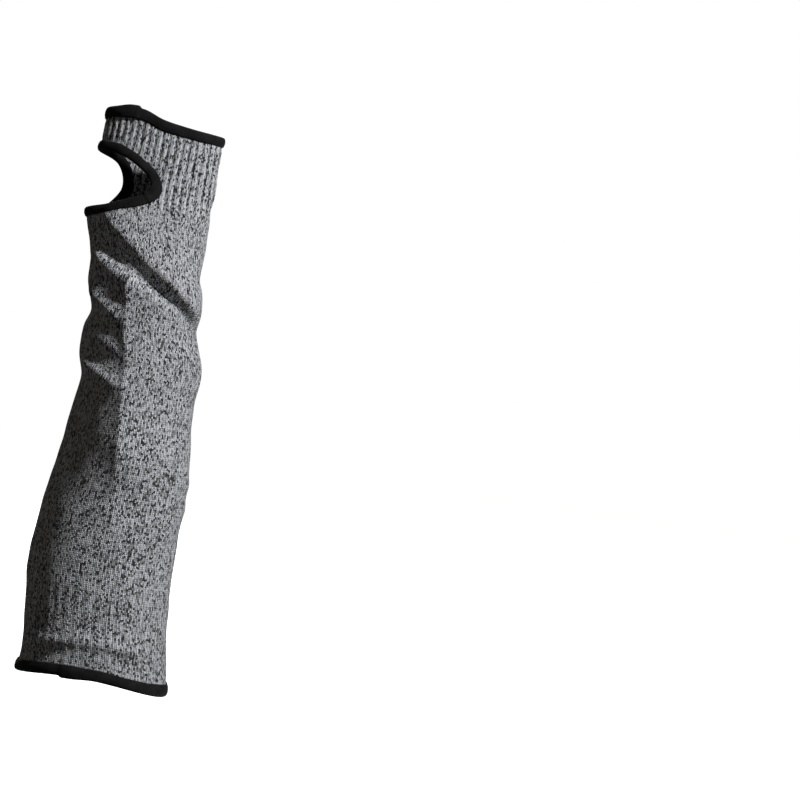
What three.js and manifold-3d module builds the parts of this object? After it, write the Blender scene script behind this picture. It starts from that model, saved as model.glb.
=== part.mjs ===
// A knitted cut-resistant arm sleeve in the shape it has when worn: one seamless ribbed tube from the
// elbow to the base of the fingers, open at both ends, with a hole for the thumb. A folded knit tape
// is sewn over each of its three raw edges.
//
// Millimetres. +Z runs up the arm from the elbow to the fingers, the palm faces -Y and the thumb -X.
// The origin is the middle of the elbow opening, where the arm goes in.
//
// Places on the knit are given by two shares: "around", the share of the girth from the middle of the
// palm side towards the little finger, and "up", the share of the length from the elbow edge.

import * as THREE from "three";
import { mergeVertices } from "three/addons/utils/BufferGeometryUtils.js";
import Module from "manifold-3d";

// The tube, measured at the middle of its wall.
const sleeveLength = 400; // elbow edge to finger edge
const elbowWidth = 104;
const elbowDepth = 88;
const wristWidth = 78;
const wristDepth = 54;
const palmWidth = 86;
const palmDepth = 35;
const knitWall = 1.5;

// The two edges aren't cut square to the arm.
const elbowEdgeArch = 7.5; // how far the palm side and the back rise above the two sides
const elbowSideDrop = 2.25; // how far below the origin the two sides lie on average
const elbowThumbRise = 3; // how far the thumb side stands above that average
const fingerEdgeDrop = 9; // how far the edge falls at the little finger
const fingerEdgeRise = 3; // and how far it rises over the index finger

// The ribbed ends.
const ribCount = 40;
const ribRelief = 0.6;
const palmRibLength = 74;
const elbowRibLength = 66;
const ribFade = 9; // over this length the ribs rise out of the plain knit

// The folds where the sleeve is loose.
const foldRise = 5;
const foldFlank = 14;

// The thumb hole.
const thumbHoleHeight = 44;
const thumbHoleBelowFingers = 49.3; // from the finger edge to the hole's centre
const thumbHoleOverPalm = 55.5;
const thumbHoleOverBack = 30;

// The edge tape, folded over the knit.
const tapeThickness = 1.4;
const tapeOverKnit = 6.4; // how far it laps over the knit
const tapePastEdge = 2.1; // how far it stands past the knit's raw edge
const tapeClearance = 0.3;
const thumbTapeClearance = 0.6;
const tapeLapSwell = 0.7; // how much thicker each half is where the tape's ends overlap
const tapeLapShare = 0.1; // the share of the way round that the overlap takes
const thumbLapShare = 0.05;

// How finely the faces are cut.
const thumbTapeSteps = 54;
const arcSteps = 144;

const knitGrey = 0x8d8f92;
const tapeBlack = 0x111113;

const width = { elbow: elbowWidth, wrist: wristWidth, palm: palmWidth };
const depth = { elbow: elbowDepth, wrist: wristDepth, palm: palmDepth };

// The tube's sections. wide and deep are shares of the width and depth that "like" names, side is how far
// the middle lies towards the little finger and back how far towards the back of the hand, both as
// shares of half that width and depth.
const sections = [
  { up: 0.0, like: "elbow", wide: 1.02, deep: 1.02, side: -0.006, back: 0.0 },
  { up: 0.035, like: "elbow", wide: 0.985, deep: 0.99, side: -0.006, back: 0.0 },
  { up: 0.1, like: "elbow", wide: 0.962, deep: 1.0, side: -0.05, back: 0.01 },
  { up: 0.2, like: "elbow", wide: 0.978, deep: 1.02, side: -0.088, back: 0.03 },
  { up: 0.3, like: "elbow", wide: 0.955, deep: 0.98, side: -0.044, back: 0.02 },
  { up: 0.4, like: "elbow", wide: 0.884, deep: 0.9, side: 0.016, back: 0.0 },
  { up: 0.5, like: "wrist", wide: 1.083, deep: 1.26, side: 0.047, back: -0.05 },
  { up: 0.57, like: "wrist", wide: 1.11, deep: 1.13, side: 0.07, back: -0.08 },
  { up: 0.62, like: "wrist", wide: 1.03, deep: 1.06, side: 0.01, back: -0.1 },
  { up: 0.655, like: "wrist", wide: 0.98, deep: 1.02, side: 0.03, back: -0.1 },
  { up: 0.71, like: "wrist", wide: 1.035, deep: 0.97, side: -0.02, back: -0.09 },
  { up: 0.755, like: "wrist", wide: 1.02, deep: 0.93, side: -0.045, back: -0.06 },
  { up: 0.815, like: "palm", wide: 1.0, deep: 1.26, side: -0.09, back: 0.0 },
  { up: 0.875, like: "palm", wide: 1.02, deep: 1.14, side: -0.1, back: 0.08 },
  { up: 0.945, like: "palm", wide: 0.97, deep: 1.02, side: -0.04, back: 0.14 },
  { up: 1.0, like: "palm", wide: 0.965, deep: 0.96, side: -0.02, back: 0.18 },
];

// The finger edge's height round the hand: drop and rise are shares of the two sizes of those names.
const fingerEdge = [
  { around: 0.0, drop: 0.42, rise: 0.1 },
  { around: 0.08, drop: 0.72, rise: 0.0 },
  { around: 0.16, drop: 0.92, rise: 0.0 },
  { around: 0.25, drop: 1.0, rise: 0.0 },
  { around: 0.4, drop: 0.75, rise: 0.0 },
  { around: 0.6, drop: 0.25, rise: 0.0 },
  { around: 0.75, drop: 0.0, rise: 0.45 },
  { around: 0.86, drop: 0.0, rise: 1.0 },
  { around: 0.93, drop: 0.1, rise: 0.9 },
];

// The folds. Each runs straight from one place on the knit to another. rise is a share of foldRise, and
// is negative for a dent. ahead and behind are the widths of its flanks on the side of the fingers and
// of the elbow, and round is how blunt its crest is, all as shares of foldFlank. fade is the share of
// the fold's own length over which it rises at each end.
const folds = [
  // across the wrist, from the thumb down to the little finger
  { from: [-0.16, 0.823], to: [0.27, 0.631], rise: 1.3, ahead: 1.2, behind: 0.85, round: 0.6, fade: 0.14 },
  { from: [-0.2, 0.768], to: [0.27, 0.631], rise: -0.85, ahead: 0.85, behind: 0.8, round: 0.6, fade: 0.16 },
  { from: [-0.21, 0.758], to: [0.2, 0.639], rise: 0.6, ahead: 0.75, behind: 0.8, round: 0.6, fade: 0.2 },
  // the long crease of the flat-pressed tube, and the flat face on its thumb side
  { from: [-0.042, 0.745], to: [0.012, 0.36], rise: 1.3, ahead: 1.7, behind: 0.65, round: 0.12, fade: 0.12 },
  { from: [-0.012, 0.53], to: [0.04, 0.16], rise: 0.5, ahead: 1.6, behind: 0.7, round: 0.12, fade: 0.38 },
  { from: [-0.165, 0.74], to: [-0.12, 0.16], rise: -1.1, ahead: 0.75, behind: 0.75, round: 1.2, fade: 0.45 },
  // on the flat face
  { from: [-0.24, 0.692], to: [-0.02, 0.637], rise: 0.6, ahead: 0.7, behind: 0.7, round: 0.5, fade: 0.3 },
  { from: [-0.2, 0.623], to: [-0.01, 0.568], rise: 0.45, ahead: 0.7, behind: 0.7, round: 0.5, fade: 0.33 },
  { from: [-0.24, 0.568], to: [0.0, 0.512], rise: 0.75, ahead: 0.7, behind: 0.7, round: 0.5, fade: 0.3 },
  { from: [-0.3, 0.655], to: [-0.17, 0.636], rise: -0.45, ahead: 0.4, behind: 0.4, round: 0.4, fade: 0.33 },
  { from: [-0.34, 0.535], to: [-0.16, 0.525], rise: -0.6, ahead: 0.5, behind: 0.5, round: 0.5, fade: 0.33 },
  { from: [-0.34, 0.735], to: [-0.2, 0.712], rise: -0.5, ahead: 0.3, behind: 0.3, round: 0.3, fade: 0.33 },
  // at the edge of the palm and down the little finger's side
  { from: [0.115, 0.87], to: [0.225, 0.73], rise: 0.4, ahead: 0.45, behind: 0.7, round: 0.15, fade: 0.33 },
  { from: [0.19, 0.865], to: [0.36, 0.845], rise: -0.3, ahead: 0.35, behind: 0.35, round: 0.4, fade: 0.33 },
  { from: [0.18, 0.735], to: [0.38, 0.705], rise: -0.5, ahead: 0.4, behind: 0.4, round: 0.4, fade: 0.33 },
  { from: [0.17, 0.56], to: [0.38, 0.53], rise: 0.35, ahead: 0.9, behind: 0.9, round: 0.5, fade: 0.33 },
  { from: [0.15, 0.372], to: [0.34, 0.352], rise: 0.35, ahead: 0.45, behind: 0.3, round: 0.3, fade: 0.33 },
  { from: [0.17, 0.325], to: [0.35, 0.31], rise: 0.25, ahead: 0.35, behind: 0.25, round: 0.3, fade: 0.33 },
  { from: [0.18, 0.272], to: [0.33, 0.262], rise: -0.2, ahead: 0.35, behind: 0.35, round: 0.3, fade: 0.33 },
  // on the back of the hand and the forearm
  { from: [0.3, 0.83], to: [0.64, 0.775], rise: 0.55, ahead: 0.8, behind: 0.4, round: 0.3, fade: 0.33 },
  { from: [0.28, 0.68], to: [0.66, 0.705], rise: 0.5, ahead: 0.4, behind: 0.6, round: 0.3, fade: 0.33 },
  { from: [0.33, 0.62], to: [0.7, 0.628], rise: -0.4, ahead: 0.5, behind: 0.4, round: 0.4, fade: 0.33 },
  { from: [0.36, 0.585], to: [0.68, 0.56], rise: 0.4, ahead: 0.5, behind: 0.6, round: 0.3, fade: 0.33 },
  { from: [0.3, 0.47], to: [0.62, 0.495], rise: 0.35, ahead: 0.7, behind: 0.6, round: 0.5, fade: 0.33 },
  { from: [0.4, 0.375], to: [0.66, 0.35], rise: 0.25, ahead: 0.6, behind: 0.5, round: 0.5, fade: 0.33 },
  // where the elbow end buckles above its tape
  { from: [-0.23, 0.056], to: [0.2, 0.065], rise: 0.35, ahead: 0.5, behind: 0.4, round: 0.2, fade: 0.2 },
  { from: [0.4, 0.085], to: [0.66, 0.075], rise: 0.2, ahead: 0.4, behind: 0.4, round: 0.3, fade: 0.33 },
];

// The thumb hole's outline: reach is a share of its reach over the palm, or where negative over the back,
// and high a share of half its height.
const thumbOutline = [
  { reach: 0.0, high: 1.0 },
  { reach: 0.28, high: 0.95 },
  { reach: 0.5, high: 0.82 },
  { reach: 0.72, high: 0.62 },
  { reach: 0.9, high: 0.4 },
  { reach: 1.0, high: 0.02 },
  { reach: 0.93, high: -0.32 },
  { reach: 0.6, high: -0.75 },
  { reach: 0.32, high: -0.92 },
  { reach: -0.1, high: -1.0 },
  { reach: -0.6, high: -0.82 },
  { reach: -1.0, high: -0.03 },
  { reach: -0.7, high: 0.76 },
];

// The share of a full turn at which the thumb's side of the tube is.
const thumbSideShare = 0.75;

// The rows of the knit's faces from the elbow to the fingers. The outside of a fine row has two columns
// to a rib, one on the rib and one beside it.
const rowBands = [
  { from: 0.0, to: 0.018, rows: 1, fine: false },
  { from: 0.026, to: 0.15, rows: 5, fine: true },
  { from: 0.2, to: 0.47, rows: 5, fine: false },
  { from: 0.5, to: 0.59, rows: 4, fine: true },
  { from: 0.607, to: 0.785, rows: 12, fine: true },
  { from: 0.805, to: 0.972, rows: 7, fine: true },
  { from: 0.982, to: 1.0, rows: 1, fine: false },
];

const wasm = await Module();
wasm.setup();

const wrap = (x) => x - Math.floor(x + 0.5); // to between -0.5 and 0.5
const smooth = (x) => {
  const t = THREE.MathUtils.clamp(x, 0, 1);
  return t * t * (3 - 2 * t);
};

// A smooth curve through rows of a table, at a value of its key column.
function curveThrough(rows, key, column, at) {
  const last = rows.length - 1;
  const x = THREE.MathUtils.clamp(at, rows[0][key], rows[last][key]);
  let i = 0;
  while (i < last - 1 && x > rows[i + 1][key]) i++;
  const slope = (j) => {
    const a = rows[Math.max(j - 1, 0)];
    const b = rows[Math.min(j + 1, last)];
    return (column(b) - column(a)) / (b[key] - a[key]);
  };
  const span = rows[i + 1][key] - rows[i][key];
  const t = (x - rows[i][key]) / span;
  const t2 = t * t;
  const t3 = t2 * t;
  return (
    (2 * t3 - 3 * t2 + 1) * column(rows[i]) +
    (t3 - 2 * t2 + t) * span * slope(i) +
    (3 * t2 - 2 * t3) * column(rows[i + 1]) +
    (t3 - t2) * span * slope(i + 1)
  );
}

// The same for a table that goes once round, by repeating its end rows past the full turn.
function curveRound(rows, column, around) {
  const shifted = (row, by) => ({ ...row, around: row.around + by });
  const round = [
    ...rows.slice(-2).map((r) => shifted(r, -1)),
    ...rows,
    ...rows.slice(0, 2).map((r) => shifted(r, 1)),
  ];
  return curveThrough(round, "around", column, around - Math.floor(around));
}

// The oval section at a height: half its width and depth, its middle, and the angle of each share of girth.
const sectionCache = new Map();
function sectionAt(up) {
  const known = sectionCache.get(up);
  if (known) return known;
  const take = (column) => curveThrough(sections, "up", column, up);
  const made = {
    halfWidth: take((r) => (width[r.like] * r.wide) / 2),
    halfDepth: take((r) => (depth[r.like] * r.deep) / 2),
    x: take((r) => (width[r.like] * r.side) / 2),
    y: take((r) => (depth[r.like] * r.back) / 2),
    arc: [0],
  };
  const step = (2 * Math.PI) / arcSteps;
  for (let i = 0; i < arcSteps; i++) {
    const t = (i + 0.5) * step;
    const speed = Math.hypot(made.halfWidth * Math.cos(t), made.halfDepth * Math.sin(t));
    made.arc.push(made.arc[i] + speed * step);
  }
  made.girth = made.arc[arcSteps];
  sectionCache.set(up, made);
  return made;
}

function angleAt(section, around) {
  const wanted = (around - Math.floor(around)) * section.girth;
  let low = 0;
  let high = arcSteps;
  while (high - low > 1) {
    const mid = (low + high) >> 1;
    if (section.arc[mid] > wanted) high = mid;
    else low = mid;
  }
  const t = (wanted - section.arc[low]) / (section.arc[high] - section.arc[low]);
  return ((low + t) * 2 * Math.PI) / arcSteps;
}

const edgeStiffness = 6; // how quickly an edge's slant dies away along the sleeve

function heightAt(around, up) {
  const turn = 2 * Math.PI * around;
  const elbowLift =
    (elbowEdgeArch * (1 + Math.cos(2 * turn))) / 2 -
    elbowSideDrop -
    elbowThumbRise * Math.sin(turn);
  const fingerLift =
    fingerEdgeRise * curveRound(fingerEdge, (r) => r.rise, around) -
    fingerEdgeDrop * curveRound(fingerEdge, (r) => r.drop, around);
  return (
    sleeveLength * up +
    elbowLift * (1 - up) ** edgeStiffness +
    fingerLift * up ** edgeStiffness
  );
}

const wristGirth = sectionAt(0.7).girth;

// How far the folds lift the knit at a place.
function foldsAt(around, up) {
  let lift = 0;
  for (const fold of folds) {
    const run = (fold.to[0] - fold.from[0]) * wristGirth;
    const climb = (fold.to[1] - fold.from[1]) * sleeveLength;
    const long = Math.hypot(run, climb);
    const middle = (fold.from[0] + fold.to[0]) / 2;
    const across = (middle + wrap(around - middle) - fold.from[0]) * wristGirth;
    const along = (up - fold.from[1]) * sleeveLength;
    const t = (across * run + along * climb) / (long * long);
    if (t <= 0 || t >= 1) continue;
    const off = (along * run - across * climb) / long;
    const flank = (off > 0 ? fold.ahead : fold.behind) * foldFlank;
    const blunt = fold.round * foldFlank;
    const fall = (Math.hypot(off, blunt) - blunt) / flank;
    const ends = smooth(t / fold.fade) * smooth((1 - t) / fold.fade);
    lift += fold.rise * foldRise * Math.exp(-fall) * ends;
  }
  return lift;
}

// A place on the oval tube before its folds.
function plainPoint(around, up) {
  const section = sectionAt(up);
  const angle = angleAt(section, around);
  return new THREE.Vector3(
    section.x + section.halfWidth * Math.sin(angle),
    section.y - section.halfDepth * Math.cos(angle),
    heightAt(around, up),
  );
}

// The outward normal of a surface that is given as a function of the two shares.
const nearbyShare = 0.004;
function normalOf(surface, around, up) {
  const below = Math.max(up - nearbyShare, 0);
  const above = Math.min(up + nearbyShare, 1);
  const sideways = surface(around + nearbyShare, up).sub(surface(around - nearbyShare, up));
  const upwards = surface(around, above).sub(surface(around, below));
  return sideways.cross(upwards).normalize();
}

// The middle of the knit's wall, folds included.
function midPoint(around, up) {
  const lift = foldsAt(around, up);
  return plainPoint(around, up).addScaledVector(normalOf(plainPoint, around, up), lift);
}

// A place at some distance outside the middle of the wall.
function skinPoint(around, up, out) {
  return midPoint(around, up).addScaledVector(normalOf(midPoint, around, up), out);
}

// The thumb hole's edge, as places on the knit. across and along point away from the hole, in shares.
function thumbEdge() {
  const centre = 1 - thumbHoleBelowFingers / sleeveLength;
  const flat = thumbOutline.map(
    ({ reach, high }) =>
      new THREE.Vector3(
        reach * (reach > 0 ? thumbHoleOverPalm : thumbHoleOverBack),
        (high * thumbHoleHeight) / 2,
        0,
      ),
  );
  const outline = new THREE.CatmullRomCurve3(flat, true, "centripetal");
  const steps = outline.getSpacedPoints(thumbTapeSteps).slice(0, -1);
  return steps.map((point, i) => {
    const next = steps[(i + 1) % thumbTapeSteps];
    const before = steps[(i + thumbTapeSteps - 1) % thumbTapeSteps];
    const onward = next.clone().sub(before).normalize();
    const up = centre + point.y / sleeveLength;
    const girth = sectionAt(up).girth;
    return {
      around: thumbSideShare + point.x / girth,
      up,
      across: -onward.y / girth,
      along: onward.x / sleeveLength,
    };
  });
}
const thumbPlaces = thumbEdge();

// The distance from a place to the thumb hole's edge.
function thumbDistance(around, up) {
  const girth = sectionAt(up).girth;
  return Math.min(
    ...thumbPlaces.map((p) =>
      Math.hypot(wrap(around - p.around) * girth, (up - p.up) * sleeveLength),
    ),
  );
}

// How far the ribs stand out there: all over the two ribbed ends, but not under a tape.
function ribHeight(around, up) {
  const fromElbow = up * sleeveLength;
  const fromFingers = (1 - up) * sleeveLength;
  const inPalmRib = smooth((palmRibLength - fromFingers) / ribFade);
  const inElbowRib = smooth((elbowRibLength - fromElbow) / ribFade);
  const nearestTape = Math.min(fromElbow, fromFingers, thumbDistance(around, up));
  const clear = smooth((nearestTape - tapeOverKnit) / ribFade);
  return ribRelief * Math.max(inPalmRib, inElbowRib) * clear;
}

// Joins rings of points into one closed skin. Rings and the points in a ring both run round to the first,
// and a ring may have twice as many points as its neighbour. The faces are turned to point outwards.
function closedSkin(rings) {
  const positions = rings.flat().flatMap((p) => [p.x, p.y, p.z]);
  const starts = rings.map((_, i) => rings.slice(0, i).reduce((n, r) => n + r.length, 0));
  let faces = [];
  rings.forEach((ring, i) => {
    const j = (i + 1) % rings.length;
    const here = (k) => starts[i] + (k % ring.length);
    const there = (k) => starts[j] + (k % rings[j].length);
    const count = Math.min(ring.length, rings[j].length);
    for (let k = 0; k < count; k++) {
      if (ring.length === rings[j].length) {
        faces.push([here(k), here(k + 1), there(k + 1)], [here(k), there(k + 1), there(k)]);
      } else if (ring.length > rings[j].length) {
        faces.push([here(2 * k), here(2 * k + 1), there(k)]);
        faces.push([here(2 * k + 1), there(k + 1), there(k)]);
        faces.push([here(2 * k + 1), here(2 * k + 2), there(k + 1)]);
      } else {
        faces.push([here(k), there(2 * k + 1), there(2 * k)]);
        faces.push([here(k), here(k + 1), there(2 * k + 1)]);
        faces.push([here(k + 1), there(2 * k + 2), there(2 * k + 1)]);
      }
    }
  });
  const points = rings.flat();
  const volume = faces.reduce(
    (sum, [a, b, c]) => sum + points[a].dot(points[b].clone().cross(points[c])) / 6,
    0,
  );
  if (volume < 0) faces = faces.map(([a, b, c]) => [a, c, b]);
  return new THREE.BufferGeometry()
    .setAttribute("position", new THREE.Float32BufferAttribute(positions, 3))
    .setIndex(faces.flat());
}

function toSolid(geometry) {
  const merged = mergeVertices(geometry);
  return new wasm.Manifold(
    new wasm.Mesh({
      numProp: 3,
      vertProperties: merged.attributes.position.array,
      triVerts: new Uint32Array(merged.index.array),
    }),
  );
}

function toGeometry(solid) {
  const mesh = solid.getMesh();
  return new THREE.BufferGeometry()
    .setAttribute("position", new THREE.BufferAttribute(mesh.vertProperties, 3))
    .setIndex(new THREE.BufferAttribute(mesh.triVerts, 1));
}

// The tube, outside from the elbow up and inside back down, with ribs on the outside.
function knitTube() {
  const rows = rowBands.flatMap(({ from, to, rows: count, fine }) =>
    Array.from({ length: count + 1 }, (_, i) => ({ up: from + ((to - from) * i) / count, fine })),
  );
  const outside = rows.map(({ up, fine }) => {
    const columns = fine ? 2 * ribCount : ribCount;
    return Array.from({ length: columns }, (_, k) => {
      const crest = fine && k % 2 === 0 ? ribHeight(k / columns, up) : 0;
      return skinPoint(k / columns, up, knitWall / 2 + crest);
    });
  });
  const inside = rows.map(({ up }) =>
    Array.from({ length: ribCount }, (_, k) => skinPoint(k / ribCount, up, -knitWall / 2)),
  );
  return closedSkin([...outside, ...inside.reverse()]);
}

// What is cut away for the thumb: a plug through the wall that comes to a point outside and inside.
function thumbPlug() {
  const outside = 4 * knitWall;
  const inside = 2 * knitWall;
  const rim = thumbPlaces.map((p) => skinPoint(p.around, p.up, outside));
  const root = thumbPlaces.map((p) => skinPoint(p.around, p.up, -inside));
  const centreUp = 1 - thumbHoleBelowFingers / sleeveLength;
  const heart = sectionAt(centreUp);
  const height = heightAt(thumbSideShare, centreUp);
  const outer = new THREE.Vector3(heart.x - 3 * heart.halfWidth, heart.y, height);
  const inner = new THREE.Vector3(heart.x, heart.y, height);
  const points = [...rim, ...root, outer, inner];
  const n = rim.length;
  const faces = [];
  for (let i = 0; i < n; i++) {
    const j = (i + 1) % n;
    faces.push([i, n + i, n + j], [i, n + j, j], [i, j, 2 * n], [n + j, n + i, 2 * n + 1]);
  }
  const geometry = new THREE.BufferGeometry()
    .setAttribute(
      "position",
      new THREE.Float32BufferAttribute(points.flatMap((p) => [p.x, p.y, p.z]), 3),
    )
    .setIndex(faces.flat());
  const plug = toSolid(geometry);
  if (plug.volume() > 0) return plug;
  return toSolid(geometry.setIndex(faces.flatMap(([a, b, c]) => [a, c, b])));
}

// The folded tape's section: out from the middle of the wall, and in over the knit from its raw edge.
function tapeSection(clearance, swell) {
  const slot = knitWall / 2 + clearance;
  const half = slot + tapeThickness + swell;
  return [
    { out: 0.8 * half, over: tapeOverKnit },
    { out: half, over: 0.4 * tapeOverKnit },
    { out: 0.6 * half, over: -tapePastEdge },
    { out: -0.6 * half, over: -tapePastEdge },
    { out: -half, over: 0.4 * tapeOverKnit },
    { out: -0.8 * half, over: tapeOverKnit },
    { out: -slot, over: tapeOverKnit },
    { out: -slot, over: -clearance },
    { out: slot, over: -clearance },
    { out: slot, over: tapeOverKnit },
  ];
}

// The tape swells where its ends overlap, with a step at the outer end.
function lapSwell(at, middle, share) {
  const off = wrap(at - middle) / share;
  return tapeLapSwell * smooth((off + 0.6) / 0.2) * smooth((0.6 - off) / 0.5);
}

// A tape round one end of the tube. edge is 0 at the elbow and 1 at the fingers.
function endTape(edge, lapMiddle) {
  const inward = edge === 0 ? 1 : -1;
  const rings = Array.from({ length: ribCount }, (_, k) => {
    const around = k / ribCount;
    const swell = lapSwell(around, lapMiddle, tapeLapShare);
    const offEdge = skinPoint(around, edge, 0)
      .sub(skinPoint(around, edge + inward * nearbyShare, 0))
      .normalize();
    return tapeSection(tapeClearance, swell).map(({ out, over }) => {
      const up = edge + (inward * Math.max(over, 0)) / sleeveLength;
      return skinPoint(around, up, out).addScaledVector(offEdge, Math.max(-over, 0));
    });
  });
  return closedSkin(rings);
}

// The tape round the thumb hole.
function thumbTape(lapMiddle) {
  const rings = thumbPlaces.map(({ around, up, across, along }, i) => {
    const swell = lapSwell(i / thumbTapeSteps, lapMiddle, thumbLapShare);
    return tapeSection(thumbTapeClearance, swell).map(({ out, over }) =>
      skinPoint(around + across * over, up + along * over, out),
    );
  });
  return closedSkin(rings);
}

function piece(name, geometry, material) {
  const mesh = new THREE.Mesh(geometry, material);
  mesh.name = name;
  return mesh;
}

const knit = new THREE.MeshStandardMaterial({ color: knitGrey, roughness: 0.95, metalness: 0 });
const tape = new THREE.MeshStandardMaterial({ color: tapeBlack, roughness: 0.8, metalness: 0 });

const sleeve = new THREE.Group();
sleeve.add(
  piece("knit_sleeve", toGeometry(toSolid(knitTube()).subtract(thumbPlug())), knit),
  piece("finger_tape", endTape(1, 0.86), tape),
  piece("thumb_tape", thumbTape(0.32), tape),
  piece("elbow_tape", endTape(0, 0.97), tape),
);

export default sleeve;
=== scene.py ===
"""A cut-resistant arm sleeve in its worn shape: heathered grey knit with black tape at its edges.

Lengths are metres. +Z runs from the elbow end to the finger end, the palm side faces -Y and the
thumb side -X. Places on the knit are given by two shares: "around", the share of the girth from the
middle of the palm side towards the little finger, and "up", the share of the length from the elbow
edge.
"""

import math
from collections import namedtuple

import bmesh
import bpy
import numpy as np
from bpy.props import FloatProperty, FloatVectorProperty, IntProperty, PointerProperty
from mathutils import Matrix, Vector


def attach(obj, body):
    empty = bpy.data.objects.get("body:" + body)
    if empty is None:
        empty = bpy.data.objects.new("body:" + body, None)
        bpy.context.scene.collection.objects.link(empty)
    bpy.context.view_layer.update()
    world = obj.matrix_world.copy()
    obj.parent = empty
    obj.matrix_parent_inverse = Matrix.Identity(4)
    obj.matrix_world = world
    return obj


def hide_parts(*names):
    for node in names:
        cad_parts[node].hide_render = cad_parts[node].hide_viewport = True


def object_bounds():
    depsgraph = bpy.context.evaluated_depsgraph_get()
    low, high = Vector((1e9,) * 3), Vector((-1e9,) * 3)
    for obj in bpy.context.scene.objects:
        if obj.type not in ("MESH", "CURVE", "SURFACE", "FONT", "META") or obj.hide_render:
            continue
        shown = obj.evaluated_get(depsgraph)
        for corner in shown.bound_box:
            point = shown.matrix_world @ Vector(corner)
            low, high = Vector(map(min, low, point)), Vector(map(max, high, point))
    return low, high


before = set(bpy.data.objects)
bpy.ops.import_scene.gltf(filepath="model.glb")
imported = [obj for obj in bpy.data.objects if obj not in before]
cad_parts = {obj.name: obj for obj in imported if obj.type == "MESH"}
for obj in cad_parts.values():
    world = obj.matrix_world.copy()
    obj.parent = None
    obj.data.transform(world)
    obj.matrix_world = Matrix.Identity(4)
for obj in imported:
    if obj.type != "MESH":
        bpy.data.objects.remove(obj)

bl_info = {
    "name": "Knitted Arm Sleeve",
    "version": (1, 0, 0),
    "blender": (4, 5, 0),
    "location": "3D View > Sidebar > Arm Sleeve",
    "description": "Builds a worn sleeve of heathered knit with taped edges and a thumb hole",
    "category": "Add Mesh",
}

MM = 0.001
CAD_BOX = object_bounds()
BODY = "root"

Section = namedtuple("Section", "up like wide deep side back")
Edge = namedtuple("Edge", "around drop rise")
Fold = namedtuple(
    "Fold", "around0 up0 around1 up1 rise ahead behind round fade", defaults=[0.33])
Wave = namedtuple("Wave", "turns ups phase height")
HolePoint = namedtuple("HolePoint", "reach high")
Ripple = namedtuple("Ripple", "turns phase height")
Tape = namedtuple("Tape", "name node lap_start lap_end places seed")
Lamp = namedtuple("Lamp", "name way away size power")

# The tube's sections. wide and deep are shares of the width and depth that "like" names, side is
# how far the middle lies towards the little finger and back how far towards the back of the hand,
# both as shares of half that width and depth.
SECTIONS = [
    Section(0.0, "elbow", 1.02, 1.02, -0.006, 0.0),
    Section(0.035, "elbow", 0.985, 0.99, -0.006, 0.0),
    Section(0.1, "elbow", 0.962, 1.0, -0.05, 0.01),
    Section(0.2, "elbow", 0.978, 1.02, -0.088, 0.03),
    Section(0.3, "elbow", 0.955, 0.98, -0.044, 0.02),
    Section(0.4, "elbow", 0.884, 0.9, 0.016, 0.0),
    Section(0.5, "wrist", 1.083, 1.26, 0.047, -0.05),
    Section(0.57, "wrist", 1.11, 1.13, 0.07, -0.08),
    Section(0.62, "wrist", 1.03, 1.06, 0.01, -0.1),
    Section(0.655, "wrist", 0.98, 1.02, 0.03, -0.1),
    Section(0.71, "wrist", 1.035, 0.97, -0.02, -0.09),
    Section(0.755, "wrist", 1.02, 0.93, -0.045, -0.06),
    Section(0.815, "palm", 1.0, 1.26, -0.09, 0.0),
    Section(0.875, "palm", 1.02, 1.14, -0.1, 0.08),
    Section(0.945, "palm", 0.97, 1.02, -0.04, 0.14),
    Section(1.0, "palm", 0.965, 0.96, -0.02, 0.18),
]

# The finger edge's height round the hand: shares of the edge's drop and of its rise.
FINGER_EDGE = [
    Edge(0.0, 0.42, 0.1),
    Edge(0.08, 0.72, 0.0),
    Edge(0.16, 0.92, 0.0),
    Edge(0.25, 1.0, 0.0),
    Edge(0.4, 0.75, 0.0),
    Edge(0.6, 0.25, 0.0),
    Edge(0.75, 0.0, 0.45),
    Edge(0.86, 0.0, 1.0),
    Edge(0.93, 0.1, 0.9),
]

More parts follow.
